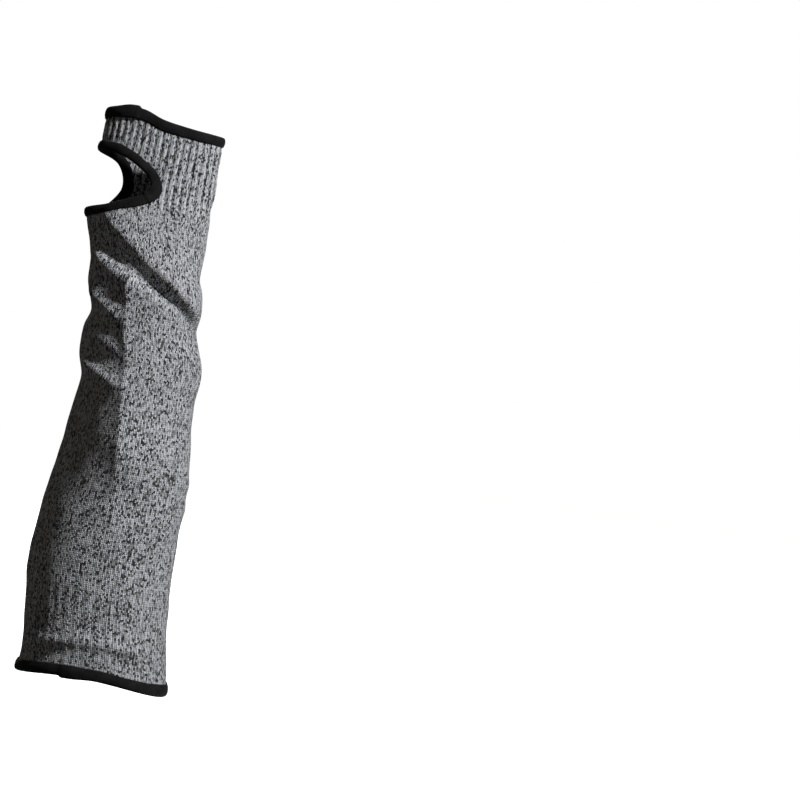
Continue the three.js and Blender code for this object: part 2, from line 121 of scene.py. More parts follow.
# The folds. Each runs straight from one place on the knit to another. rise is a share of the fold
# rise, and is negative for a dent. ahead and behind are the widths of its flanks on the side of
# the fingers and of the elbow, and round is how blunt its crest is, all as shares of the fold
# flank. fade is the share of the fold's own length over which it rises at each end.
FOLDS = [
    # across the wrist, from the thumb down to the little finger
    Fold(-0.16, 0.823, 0.27, 0.631, 1.35, 1.1, 0.42, 0.1, 0.14),
    Fold(-0.2, 0.768, 0.27, 0.631, -1.1, 0.8, 0.22, 0.3, 0.16),
    Fold(-0.21, 0.758, 0.2, 0.639, 1.0, 0.25, 0.45, 0.1, 0.2),
    Fold(0.01, 0.747, 0.265, 0.634, 0.68, 0.8, 0.3, 0.1, 0.35),
    Fold(0.02, 0.722, 0.265, 0.619, -0.62, 0.28, 0.45, 0.28, 0.35),
    # the long crease of the flat-pressed tube, and the flat face on its thumb side
    Fold(-0.046, 0.775, 0.019, 0.31, 1.3, 1.7, 0.65, 0.03, 0.22),
    Fold(-0.012, 0.53, 0.04, 0.16, 0.5, 1.6, 0.7, 0.03, 0.38),
    Fold(-0.165, 0.74, -0.12, 0.16, -1.1, 0.75, 0.75, 1.2, 0.45),
    # on the flat face
    Fold(-0.222, 0.692, -0.02, 0.624, 1.0, 0.36, 0.38, 0.12, 0.3),
    Fold(-0.2, 0.62, -0.01, 0.568, 0.5, 0.3, 0.4, 0.15),
    Fold(-0.222, 0.565, 0.0, 0.512, 1.05, 0.28, 0.4, 0.1, 0.3),
    Fold(-0.3, 0.655, -0.17, 0.636, -0.45, 0.4, 0.4, 0.4),
    Fold(-0.34, 0.535, -0.16, 0.525, -0.6, 0.5, 0.5, 0.5),
    Fold(-0.36, 0.738, -0.19, 0.714, -1.1, 0.35, 0.32, 0.2),
    # at the edge of the palm and down the little finger's side
    Fold(0.115, 0.87, 0.225, 0.73, 0.4, 0.45, 0.7, 0.15),
    Fold(0.19, 0.865, 0.36, 0.845, -0.3, 0.35, 0.35, 0.4),
    Fold(0.18, 0.735, 0.38, 0.705, -0.5, 0.4, 0.4, 0.4),
    Fold(0.17, 0.56, 0.38, 0.53, 0.35, 0.9, 0.9, 0.5),
    Fold(0.15, 0.372, 0.34, 0.352, 0.35, 0.45, 0.3, 0.3),
    Fold(0.17, 0.325, 0.35, 0.31, 0.25, 0.35, 0.25, 0.3),
    Fold(0.18, 0.272, 0.33, 0.262, -0.2, 0.35, 0.35, 0.3),
    # on the back of the hand and the forearm
    Fold(0.3, 0.83, 0.64, 0.775, 0.55, 0.8, 0.4, 0.3),
    Fold(0.28, 0.68, 0.66, 0.705, 0.5, 0.4, 0.6, 0.3),
    Fold(0.33, 0.62, 0.7, 0.628, -0.4, 0.5, 0.4, 0.4),
    Fold(0.36, 0.585, 0.68, 0.56, 0.4, 0.5, 0.6, 0.3),
    Fold(0.3, 0.47, 0.62, 0.495, 0.35, 0.7, 0.6, 0.5),
    Fold(0.4, 0.375, 0.66, 0.35, 0.25, 0.6, 0.5, 0.5),
    # where the elbow end buckles above its tape
    Fold(-0.22, 0.057, 0.2, 0.065, 0.58, 0.3, 0.26, 0.1, 0.3),
    Fold(0.4, 0.085, 0.66, 0.075, 0.2, 0.4, 0.4, 0.3),
]

# The slack knit's slow waves: how many there are around and up, where they start, and their height
# as a share of the slack.
SLACK_WAVES = [
    Wave(3, 5, 0.1, 1.0),
    Wave(-5, 8, 0.45, 0.7),
    Wave(7, 11, 0.8, 0.5),
    Wave(-9, 17, 0.3, 0.4),
    Wave(2, 23, 0.65, 0.35),
    Wave(11, -14, 0.2, 0.35),
]

# The thumb hole's outline: reach is a share of its reach over the palm, or where negative over the
# back, and high a share of half its height.
THUMB_OUTLINE = [
    HolePoint(0.0, 1.0),
    HolePoint(0.28, 0.95),
    HolePoint(0.5, 0.82),
    HolePoint(0.72, 0.62),
    HolePoint(0.9, 0.4),
    HolePoint(1.0, 0.02),
    HolePoint(0.93, -0.32),
    HolePoint(0.6, -0.75),
    HolePoint(0.32, -0.92),
    HolePoint(-0.1, -1.0),
    HolePoint(-0.6, -0.82),
    HolePoint(-1.0, -0.03),
    HolePoint(-0.7, 0.76),
]
THUMB_SIDE = 0.75  # the share of a full turn at which the thumb's side is

# The sewn tape's ripples: how many there are in a round, their phase for a seed of 1, and their
# height as a share of the sway or of the unevenness.
TAPE_WANDER = [Ripple(3, 1.0, 1.0), Ripple(7, 2.1, 0.6), Ripple(13, 3.7, 0.4)]
TAPE_PLUMP = [Ripple(5, 1.3, 1.0), Ripple(11, 0.4, 0.7)]

# How finely the pieces are meshed.
GRID_COLUMNS, GRID_ROWS = 320, 230
LINING_STEP = 2  # the inside has one column and row to so many of the outside's
ARC_STEPS = 144
TAPE_RINGS = 260
TAPE_SECTION_POINTS = 30


def length_mm(name, description, default, least=None):
    """A property for a length, whose default and least value are given in millimetres."""
    limit = {} if least is None else {"min": least * MM}
    return FloatProperty(
        name=name, description=description, default=default * MM, unit="LENGTH", **limit)


def colour_of(name, description, default):
    return FloatVectorProperty(
        name=name, description=description, default=default, subtype="COLOR", size=3, min=0, max=1)


class SleeveShape(bpy.types.PropertyGroup):
    """The worn sleeve's sizes."""

    length: length_mm("Length", "From the elbow edge to the finger edge", 400, 200)
    elbow_width: length_mm("Elbow width", "Across the tube near the elbow", 104, 50)
    elbow_depth: length_mm("Elbow depth", "From the palm side to the back near the elbow", 88, 50)
    wrist_width: length_mm("Wrist width", "Across the tube at the wrist", 78, 40)
    wrist_depth: length_mm("Wrist depth", "From the palm side to the back at the wrist", 54, 30)
    palm_width: length_mm("Palm width", "Across the tube at the hand", 86, 40)
    palm_depth: length_mm("Palm depth", "From the palm to the back of the hand", 35, 20)
    wall: length_mm("Wall", "Thickness of the knit", 1.5, 0.5)
    elbow_arch: length_mm(
        "Elbow edge arch", "Rise of the palm side and back above the two sides", 7.5)
    elbow_side_drop: length_mm(
        "Elbow edge sides", "How far below the origin the two sides' mean lies", 2.25)
    elbow_thumb_rise: length_mm(
        "Elbow edge, thumb side", "Height of the thumb side above that mean", 3)
    finger_drop: length_mm("Finger edge drop", "Fall of the edge at the little finger", 9)
    finger_rise: length_mm("Finger edge rise", "Rise of the edge over the index finger", 3)
    fold_rise: length_mm("Fold rise", "Height of a full fold", 5)
    fold_flank: length_mm("Fold flank", "Width of a full fold's flank", 14, 1)
    slack: length_mm("Slack", "Height of the slow waves in the loose knit", 0.18)
    hole_height: length_mm("Thumb hole height", "Along the sleeve", 44, 10)
    hole_below_fingers: length_mm(
        "Thumb hole place", "From the finger edge to the middle of the hole", 49.3)
    hole_over_palm: length_mm(
        "Thumb hole over palm", "How far the hole reaches over the palm", 55.5)
    hole_over_back: length_mm("Thumb hole over back", "How far the hole reaches over the back", 30)


class KnitFinish(bpy.types.PropertyGroup):
    """The knit's ribs, stitches and yarn."""

    ribs: IntProperty(
        name="Ribs", description="Ribs round the sleeve's ends", default=40, min=4)
    wales_per_rib: IntProperty(
        name="Columns per rib", description="Columns of stitches in one rib", default=3, min=1)
    palm_rib_relief: length_mm("Hand rib relief", "How far the ribs stand out at the hand", 0.8)
    elbow_rib_relief: length_mm("Elbow rib relief", "How far the ribs stand out at the elbow", 0.35)
    palm_rib_length: length_mm("Hand rib length", "Length of the ribbed end at the hand", 70)
    elbow_rib_length: length_mm("Elbow rib length", "Length of the ribbed end at the elbow", 70)
    rib_fade: length_mm("Rib fade", "Over this length the ribs rise out of the plain knit", 14, 1)
    rib_fade_at_tape: length_mm(
        "Rib fade at tapes", "Over this length the ribs rise beside a tape", 4, 1)
    course: length_mm("Row of stitches", "Height of one row of stitches", 1.5, 0.2)
    stitch_relief: length_mm("Stitch relief", "How far the yarn stands out of the knit", 0.5)
    pale_yarn: colour_of("Pale yarn", "Colour of the pale strands", (0.64, 0.66, 0.7))
    grey_yarn: colour_of("Grey yarn", "Colour of the grey strands", (0.27, 0.28, 0.295))
    dark_yarn: colour_of("Dark yarn", "Colour of the dark strands", (0.03, 0.03, 0.032))


class TapeFinish(bpy.types.PropertyGroup):
    """The tape folded over the edges."""

    over: length_mm("Lap over the knit", "How far the tape laps over the knit", 6.4)
    past: length_mm("Past the edge", "How far the tape stands past the knit's edge", 2.1)
    thickness: length_mm("Thickness", "Thickness of each half of the tape", 1.4)
    clearance: length_mm("Clearance", "Gap between tape and knit", 0.3)
    lap_swell: length_mm(
        "Swell at the lap", "How much thicker each half is where the ends overlap", 0.95)
    sway: length_mm("Sway", "How unevenly the tape is sewn on", 0.25)
    unevenness: FloatProperty(
        name="Unevenness", description="How much the thickness varies, as a share", default=0.045)
    seam: length_mm("Seam", "From the lap's end to the line where the tape is sewn on", 2.1)
    seam_depth: length_mm("Seam depth", "How far the sewing pulls the tape in", 0.22)
    seam_width: length_mm("Seam width", "Half the width of the furrow at the seam", 0.5, 0.1)
    loop: length_mm("Loop size", "Width of one column of the tape's knit", 0.8, 0.1)
    loop_relief: length_mm("Loop relief", "How far the yarn stands out of the tape", 0.3)
    colour: colour_of("Tape", "Colour of the tape", (0.006, 0.0055, 0.006))
    worn_colour: colour_of(
        "Tape, raised loops", "Colour of the tape's raised loops", (0.022, 0.021, 0.023))


class StageLight(bpy.types.PropertyGroup):
    """The camera, the light and the ground."""

    camera_distance: length_mm("Camera distance", "From the camera to the sleeve", 1600, 200)
    view_width: length_mm("View width", "Width of the view at the sleeve", 570.4, 50)
    lean: FloatProperty(
        name="Lean", description="How far the sleeve leans to the right in the view",
        default=math.radians(7.68), unit="ROTATION")
    aim: FloatVectorProperty(
        name="Aim", description="What the middle of the view shows", size=3, subtype="XYZ",
        unit="LENGTH", default=(191.3 * MM, 0.0, 224.4 * MM))
    key_power: FloatProperty(
        name="Key light", description="Power of the main light", default=48.0, min=0)
    key_size: length_mm("Key size", "Width of the main light", 160, 10)
    key_distance: length_mm("Key distance", "From the main light to the sleeve", 2000, 100)
    key_turn: FloatProperty(
        name="Key turn", description="From the palm side round towards the little finger",
        default=math.radians(55), unit="ROTATION")
    key_height: FloatProperty(
        name="Key height", description="Angle of the main light above the horizon",
        default=math.radians(36), unit="ROTATION")
    back_power: FloatProperty(
        name="Back light", description="Power of the soft light behind", default=30.0, min=0)
    back_size: length_mm("Back size", "Width of the light behind", 1200, 10)
    back_distance: length_mm("Back distance", "From the light behind to the sleeve", 2500, 100)
    back_way: FloatVectorProperty(
        name="Back way", description="Which way the light behind lies", size=3,
        subtype="XYZ", default=(-0.15, 0.93, 0.34))
    lit_height: length_mm("Lit height", "Height of the point that the lights face", 220)
    ambience: FloatProperty(
        name="Ambience", description="Strength of the light from all round", default=0.072, min=0)
    ambience_colour: colour_of(
        "Ambience colour", "Colour of the light from all round", (1.0, 0.93, 0.85))
    ground_size: length_mm("Ground size", "Width of the ground", 12000, 1000)
    ground_glow: FloatProperty(
        name="Ground glow", description="How brightly the ground shines by itself", default=0.93)
    ground_colour: colour_of("Ground", "Colour of the ground", (0.9, 0.9, 0.9))
    ground_gap: length_mm("Ground gap", "Height of the elbow edge above the ground", 45)


def smooth(x):
    t = np.clip(x, 0.0, 1.0)
    return t * t * (3.0 - 2.0 * t)


def wrap(x):
    """A share of a turn, to between -0.5 and 0.5."""
    return x - np.floor(x + 0.5)


def curve_through(keys, values, at):
    """A smooth curve through the points, whose slope at each comes from its two neighbours."""
    keys = np.asarray(keys, float)
    values = np.asarray(values, float)
    count = len(keys)
    at = np.clip(at, keys[0], keys[-1])
    before = np.maximum(np.arange(count) - 1, 0)
    after = np.minimum(np.arange(count) + 1, count - 1)
    slopes = (values[after] - values[before]) / (keys[after] - keys[before])
    i = np.clip(np.searchsorted(keys, at, side="right") - 1, 0, count - 2)
    span = keys[i + 1] - keys[i]
    t = (at - keys[i]) / span
    start = (2 * t**3 - 3 * t**2 + 1) * values[i] + (t**3 - 2 * t**2 + t) * span * slopes[i]
    end = (3 * t**2 - 2 * t**3) * values[i + 1] + (t**3 - t**2) * span * slopes[i + 1]
    return start + end


def curve_round(rows, column, around):
    """The same for a table that goes once round."""
    rows = [r._replace(around=r.around - 1) for r in rows[-2:]] + rows + [
        r._replace(around=r.around + 1) for r in rows[:2]
    ]
    keys = [r.around for r in rows]
    return curve_through(keys, [getattr(r, column) for r in rows], around - np.floor(around))


class WornKnit:
    """The middle of the knit's wall on a fine grid, and its normals. Every piece sits on it."""

    def __init__(self, shape):
        self.shape = shape
        self.width = {
            "elbow": shape.elbow_width, "wrist": shape.wrist_width, "palm": shape.palm_width}
        self.depth = {
            "elbow": shape.elbow_depth, "wrist": shape.wrist_depth, "palm": shape.palm_depth}
        self.around = np.arange(GRID_COLUMNS) / GRID_COLUMNS
        self.up = np.linspace(0.0, 1.0, GRID_ROWS + 1)
        keys = [s.up for s in SECTIONS]
        self.half_width = curve_through(
            keys, [self.width[s.like] * s.wide / 2 for s in SECTIONS], self.up)
        self.half_depth = curve_through(
            keys, [self.depth[s.like] * s.deep / 2 for s in SECTIONS], self.up)
        self.middle_x = curve_through(
            keys, [self.width[s.like] * s.side / 2 for s in SECTIONS], self.up)
        self.middle_y = curve_through(
            keys, [self.depth[s.like] * s.back / 2 for s in SECTIONS], self.up)
        plain, self.girth = self._plain_tube()
        self.wrist_girth = float(np.interp(0.7, self.up, self.girth))
        self.hole = self._hole_edge()
        lift = self._folds() + self._slack()
        self.middle = plain + self._normals(plain) * lift[..., None]
        self.normal = self._normals(self.middle)

    def _plain_tube(self):
        """The oval tube before its folds, with its columns evenly spaced round the girth."""
        turn = np.linspace(0.0, 2.0 * math.pi, ARC_STEPS + 1)
        halfway = (turn[1:] + turn[:-1]) / 2
        step = turn[1]
        points = np.zeros((len(self.up), len(self.around), 3))
        girths = np.zeros(len(self.up))
        for row in range(len(self.up)):
            a = self.half_width[row]
            b = self.half_depth[row]
            speed = np.hypot(a * np.cos(halfway), b * np.sin(halfway))
            arc = np.concatenate([[0.0], np.cumsum(speed) * step])
            girths[row] = arc[-1]
            angle = np.interp(self.around * arc[-1], arc, turn)
            points[row, :, 0] = self.middle_x[row] + a * np.sin(angle)
            points[row, :, 1] = self.middle_y[row] - b * np.cos(angle)
        points[..., 2] = self._height(self.around[None, :], self.up[:, None])
        return points, girths

    def _height(self, around, up):
        shape = self.shape
        turn = 2.0 * math.pi * around
        elbow = (shape.elbow_arch * (1 + np.cos(2 * turn)) / 2 - shape.elbow_side_drop
                 - shape.elbow_thumb_rise * np.sin(turn))
        fingers = (shape.finger_rise * curve_round(FINGER_EDGE, "rise", around)
                   - shape.finger_drop * curve_round(FINGER_EDGE, "drop", around))
        stiffness = 6  # how quickly an edge's slant dies away along the sleeve
        return shape.length * up + elbow * (1 - up) ** stiffness + fingers * up**stiffness

    def _folds(self):
        """How far the folds lift the knit at each place of the grid."""
        shape = self.shape
        around, up = np.meshgrid(self.around, self.up)
        lift = np.zeros_like(around)
        for fold in FOLDS:
            run = (fold.around1 - fold.around0) * self.wrist_girth
            climb = (fold.up1 - fold.up0) * shape.length
            long = math.hypot(run, climb)
            middle = (fold.around0 + fold.around1) / 2
            across = (middle + wrap(around - middle) - fold.around0) * self.wrist_girth
            along = (up - fold.up0) * shape.length
            t = (across * run + along * climb) / long**2
            off = (along * run - across * climb) / long
            flank = np.where(off > 0, fold.ahead, fold.behind) * shape.fold_flank
            blunt = fold.round * shape.fold_flank
            fall = (np.hypot(off, blunt) - blunt) / flank
            ends = smooth(t / fold.fade) * smooth((1 - t) / fold.fade)
            lift += fold.rise * shape.fold_rise * np.exp(-fall) * ends
        return lift

    def _slack(self):
        """The slow waves of the loose knit, which die away towards the taped edges."""
        around, up = np.meshgrid(self.around, self.up)
        waves = sum(
            wave.height * np.sin(2 * math.pi * (wave.turns * around + wave.ups * up + wave.phase))
            for wave in SLACK_WAVES)
        held = 0.05  # the share of the length over which an edge holds the knit still
        return self.shape.slack * waves * smooth(up / held) * smooth((1 - up) / held)

    @staticmethod
    def _normals(points):
        sideways = np.roll(points, -1, axis=1) - np.roll(points, 1, axis=1)
        upwards = np.gradient(points, axis=0)
        normal = np.cross(sideways, upwards)
        return normal / np.linalg.norm(normal, axis=2, keepdims=True)

    def _hole_edge(self):
        """Places evenly spaced along the thumb hole's edge, and the way out of the hole at each."""
        shape = self.shape
        flat = np.array([
            (p.reach * (shape.hole_over_palm if p.reach > 0 else shape.hole_over_back),
             p.high * shape.hole_height / 2) for p in THUMB_OUTLINE])
        knots = len(flat)
        fine = 40
        t = np.arange(knots * fine) / fine
        keys = np.arange(-2, knots + 3)
        outline = np.stack([curve_through(keys, flat[keys % knots, i], t) for i in range(2)], 1)
        outline = np.concatenate([outline, outline[:1]])
        run = np.concatenate([[0], np.cumsum(np.linalg.norm(np.diff(outline, axis=0), axis=1))])
        at = np.linspace(0, run[-1], TAPE_RINGS + 1)[:-1]
        edge = np.stack([np.interp(at, run, outline[:, i]) for i in range(2)], 1)
        onward = np.roll(edge, -1, axis=0) - np.roll(edge, 1, axis=0)
        onward /= np.linalg.norm(onward, axis=1, keepdims=True)
        up = 1 - shape.hole_below_fingers / shape.length + edge[:, 1] / shape.length
        girth = np.interp(up, self.up, self.girth)
        return {
            "around": THUMB_SIDE + edge[:, 0] / girth, "up": up,
            "across": -onward[:, 1] / girth, "along": onward[:, 0] / shape.length,
            "length": run[-1]}

    def from_hole(self):
        """The distance from each place of the grid to the thumb hole's edge."""
        nearest = np.full((len(self.up), len(self.around)), np.inf)
        for around, up in zip(self.hole["around"], self.hole["up"]):
            side = wrap(self.around - around)[None, :] * self.girth[:, None]
            along = (self.up[:, None] - up) * self.shape.length
            nearest = np.minimum(nearest, np.hypot(side, along))
        return nearest

    def at(self, around, up, out):
        """Points some distance outside the middle of the wall, between the grid's places."""
        column = (around - np.floor(around)) * GRID_COLUMNS
        row = np.clip(up, 0.0, 1.0) * GRID_ROWS
        i = np.floor(column).astype(int) % GRID_COLUMNS
        j = np.minimum(np.floor(row).astype(int), GRID_ROWS - 1)
        s = (column - np.floor(column))[..., None]
        t = (row - j)[..., None]
        k = (i + 1) % GRID_COLUMNS

        def between(field):
            low = field[j, i] * (1 - s) + field[j, k] * s
            high = field[j + 1, i] * (1 - s) + field[j + 1, k] * s
            return low * (1 - t) + high * t

        normal = between(self.normal)
        normal /= np.linalg.norm(normal, axis=-1, keepdims=True)
        return between(self.middle) + normal * np.asarray(out)[..., None]


def grid_faces(rows, columns, first=0):
    """Quads of a grid whose columns run round to the first, as vertex numbers."""
    k = np.arange(columns)
    low = first + np.arange(rows - 1)[:, None] * columns
    here = low + k
    there = low + (k + 1) % columns
    return np.stack([here, there, there + columns, here + columns], -1).reshape(-1, 4).tolist()


def new_object(name, points, faces, materials=()):
    mesh = bpy.data.meshes.new(name)
    mesh.from_pydata(points, [], faces)
    mesh.update()
    for material in materials:
        mesh.materials.append(material)
    piece = bpy.data.objects.new(name, mesh)
    bpy.context.scene.collection.objects.link(piece)
    return piece


def face_outwards(piece):
    mesh = bmesh.new()
    mesh.from_mesh(piece.data)
    bmesh.ops.recalc_face_normals(mesh, faces=mesh.faces)
    if mesh.calc_volume(signed=True) < 0:
        bmesh.ops.reverse_faces(mesh, faces=mesh.faces)
    mesh.to_mesh(piece.data)
    mesh.free()


def write_maps(piece, stitches, bake):
    """Two UV maps from a pair of coordinates per vertex: the stitches' count, and a map to bake to.

    A face that joins the last column to the first has its far side moved a full turn on."""
    mesh = piece.data
    corners = np.zeros(len(mesh.loops), np.int32)
    mesh.loops.foreach_get("vertex_index", corners)
    starts = np.zeros(len(mesh.polygons), np.int32)
    mesh.polygons.foreach_get("loop_start", starts)
    totals = np.zeros(len(mesh.polygons), np.int32)
    mesh.polygons.foreach_get("loop_total", totals)
    share = stitches["turn"][corners]
    first = np.repeat(np.maximum.reduceat(share, starts), totals)
    turn_on = (first - share > 0.5).astype(float)
    for name, (low, scale) in {"stitches": stitches["map"], "OFBake": bake}.items():
        layer = mesh.uv_layers.new(name=name)
        u = (share + turn_on) * scale
        layer.data.foreach_set("uv", np.stack([u, low[corners]], 1).astype(np.float32).ravel())


def cut_away(piece, cutter):
    """Cuts the cutter's solid out of the piece, and removes the cutter."""
    modifier = piece.modifiers.new("thumb hole", "BOOLEAN")
    modifier.operation = "DIFFERENCE"
    modifier.solver = "EXACT"
    modifier.object = cutter
    with bpy.context.temp_override(object=piece, active_object=piece):
        bpy.ops.object.modifier_apply(modifier=modifier.name)
    bpy.data.objects.remove(cutter)


def thumb_plug(knit):
    """A plug through the wall at the thumb hole, which comes to a point outside and inside."""
    hole = knit.hole
    outside, inside = 4 * knit.shape.wall, -2 * knit.shape.wall
    rim = knit.at(hole["around"], hole["up"], np.full(TAPE_RINGS, outside))
    root = knit.at(hole["around"], hole["up"], np.full(TAPE_RINGS, inside))
    up = 1 - knit.shape.hole_below_fingers / knit.shape.length
    x, y, a = (float(np.interp(up, knit.up, field))
               for field in (knit.middle_x, knit.middle_y, knit.half_width))
    height = knit.shape.length * up
    reach = 3  # how many half widths out the outer point lies
    points = np.concatenate([rim, root, [[x - reach * a, y, height], [x, y, height]]])
    count = TAPE_RINGS
    outer, inner = 2 * count, 2 * count + 1
    faces = []
    for i in range(count):
        j = (i + 1) % count
        faces += [(i, count + i, count + j, j), (i, j, outer), (count + j, count + i, inner)]
    plug = new_object("thumb_plug", points.tolist(), faces)
    face_outwards(plug)
    return plug


def rib_lift(knit, finish, tape):
    """How far the ribs stand out at each place of the grid: at both ends, but not under a tape."""
    around, up = np.meshgrid(knit.around, knit.up)
    length = knit.shape.length
    from_elbow = up * length
    from_fingers = (1 - up) * length
    palm = smooth((finish.palm_rib_length - from_fingers) / finish.rib_fade)
    elbow = smooth((finish.elbow_rib_length - from_elbow) / finish.rib_fade)
    nearest = np.minimum(np.minimum(from_elbow, from_fingers), knit.from_hole())
    covered = 0.9 * tape.over  # the ribs start a little under the tape
    clear = smooth((nearest - covered) / finish.rib_fade_at_tape)
    ripple = 0.5 + 0.5 * np.cos(2 * math.pi * finish.ribs * around)
    relief = finish.palm_rib_relief * palm + finish.elbow_rib_relief * elbow
    bluntness = 0.8  # below 1 a rib is broader than the furrow beside it
    sunk = 0.35  # the share of the relief by which a furrow lies below plain knit
    return relief * clear * (ripple**bluntness - sunk)


def make_knit(knit, finish, tape, material):
    """The knitted tube: a fine outside and a coarser inside, joined at the ends, the hole cut."""
    half = knit.shape.wall / 2
    outside = knit.middle + knit.normal * (half + rib_lift(knit, finish, tape))[..., None]
    step = LINING_STEP
    inside = (knit.middle - knit.normal * half)[::step, ::step]
    rows, columns = outside.shape[:2]
    lining_rows, lining_columns = inside.shape[:2]
    first = rows * columns
    points = np.concatenate([outside.reshape(-1, 3), inside.reshape(-1, 3)])
    faces = grid_faces(rows, columns)
    lining = grid_faces(lining_rows, lining_columns, first)
    faces += [quad[::-1] for quad in lining]
    for row, lining_row in ((0, 0), (rows - 1, lining_rows - 1)):
        start = row * columns
        lining_start = first + lining_row * lining_columns
        for k in range(lining_columns):
            n = (k + 1) % lining_columns
            fan = [start + (k * step + m) % columns for m in range(step + 1)]
            faces.append([lining_start + k, *fan, lining_start + n][:: 1 if row else -1])
    piece = new_object("knit", points.tolist(), faces, [material])
    wales = finish.ribs * finish.wales_per_rib
    turn = np.concatenate([np.tile(knit.around, rows), np.tile(knit.around[::step], lining_rows)])
    up = np.concatenate([np.repeat(knit.up, columns), np.repeat(knit.up[::step], lining_columns)])
    is_lining = np.arange(len(points)) >= first
    # On the map to bake to, the outside fills up to 0.78 and the lining from 0.8 to 0.99.
    bake_up = np.where(is_lining, 0.8 + 0.19 * up, 0.78 * up)
    courses = knit.shape.length / finish.course
    write_maps(piece, {"turn": turn, "map": (up * courses, wales)}, (bake_up, 1.0))
    cut_away(piece, thumb_plug(knit))
    piece.data.shade_smooth()
    return piece


def tape_section(tape, wall):
    """The folded tape's section from the knit's edge: out of the wall's middle, over the knit."""
    slot = wall / 2 + tape.clearance
    half_long = (tape.over + tape.past) / 2
    half_thick = slot + tape.thickness
    square = 2.5  # 2 is an ellipse, and more is squarer
    lip = math.asin((slot / half_thick) ** (square / 2))
    angle = np.linspace(lip, 2 * math.pi - lip, TAPE_SECTION_POINTS)
    c, s = np.cos(angle), np.sin(angle)
    over = half_long * np.sign(c) * np.abs(c) ** (2 / square) + (tape.over - tape.past) / 2
    out = half_thick * np.sign(s) * np.abs(s) ** (2 / square)
    from_seam = (over - (tape.over - tape.seam)) / tape.seam_width
    out -= np.sign(out) * tape.seam_depth * np.exp(-(from_seam**2))
    slot_depth = 0.8 * tape.over
    slot_side = np.array([-slot, -slot, slot, slot])
    slot_over = np.array([slot_depth, -tape.clearance, -tape.clearance, slot_depth])
    return np.concatenate([out, slot_side]), np.concatenate([over, slot_over])


def ripples(table, seed):
    turn = 2 * math.pi * np.arange(TAPE_RINGS) / TAPE_RINGS
    return sum(row.height * np.sin(row.turns * turn + row.phase * seed) for row in table)


def lap_swell(tape, start, end):
    """The swelling where the tape's ends overlap: a step at the start, then a slow fall."""
    off = wrap(np.arange(TAPE_RINGS) / TAPE_RINGS - start) / (end - start)
    rise, fall = 0.1, 0.7  # the shares of the lap over which it swells and thins
    return tape.lap_swell * smooth(off / rise) * smooth((1 - off) / fall)


def make_tape(row, knit, tape, material):
    """One tape, from rings across it. row.places(over, out) gives the points of all its rings."""
    out, over = tape_section(tape, knit.shape.wall)
    wander = tape.sway * ripples(TAPE_WANDER, row.seed)
    plump = tape.unevenness * ripples(TAPE_PLUMP, row.seed)
    swell = lap_swell(tape, row.lap_start, row.lap_end)
    slack = 0.02 * MM  # tells the outer face from the sides of the slot
    body = np.abs(out) > knit.shape.wall / 2 + tape.clearance + slack
    thick = np.where(body, plump[:, None] * np.abs(out) + swell[:, None], 0.0)
    outs = out[None, :] + np.sign(out)[None, :] * thick
    beyond = np.clip(-over / tape.past, 0, 1)[None, :]
    swell_past = 1.6  # how much more it swells past the edge
    overs = over[None, :] + (1 - beyond) * wander[:, None] - beyond * swell_past * swell[:, None]
    points = row.places(overs, outs)
    count = len(out)
    ring = np.arange(TAPE_RINGS)[:, None] * count
    next_ring = (np.arange(TAPE_RINGS)[:, None] + 1) % TAPE_RINGS * count
    k = np.arange(count)
    n = (k + 1) % count
    faces = np.stack([ring + k, ring + n, next_ring + n, next_ring + k], -1).reshape(-1, 4)
    piece = new_object(row.name, points.reshape(-1, 3).tolist(), faces.tolist(), [material])
    face_outwards(piece)
    across = np.concatenate([[0], np.cumsum(np.hypot(np.diff(out), np.diff(over)))])
    long = np.linalg.norm(np.diff(points[:, 0], axis=0), axis=1).sum()
    turn = np.repeat(np.arange(TAPE_RINGS) / TAPE_RINGS, count)
    side = np.tile(across, TAPE_RINGS)
    loops = round(long / tape.loop)
    write_maps(
        piece, {"turn": turn, "map": (side / tape.loop, loops)}, (side / side.max() * 0.98, 1.0))
    piece.data.shade_smooth()
    return piece


def end_places(knit, edge):
    """Where the rings of a tape round one end of the tube lie."""
    inward = 1 if edge == 0 else -1
    around = np.arange(TAPE_RINGS) / TAPE_RINGS
    still = np.zeros(TAPE_RINGS)
    at_edge = knit.at(around, still + edge, still)
    near = 0.01  # the share of the length within which the way out of the edge is measured
    off_edge = at_edge - knit.at(around, still + edge + inward * near, still)
    off_edge /= np.linalg.norm(off_edge, axis=1, keepdims=True)

    def places(overs, outs):
        up = edge + inward * np.maximum(overs, 0) / knit.shape.length
        where = np.broadcast_to(around[:, None], overs.shape)
        return knit.at(where, up, outs) + off_edge[:, None] * np.maximum(-overs, 0)[..., None]

    return places


def hole_places(knit):
    """Where the rings of the tape round the thumb hole lie."""
    hole = knit.hole
    narrow = 0.2  # how much narrower the tape is where it is stretched, above and below the hole
    width = 1 - narrow * np.abs(hole["along"]) * knit.shape.length

    def places(overs, outs):
        overs = overs * width[:, None]
        around = hole["around"][:, None] + hole["across"][:, None] * overs
        up = hole["up"][:, None] + hole["along"][:, None] * overs
        return knit.at(around, up, outs)

    return places


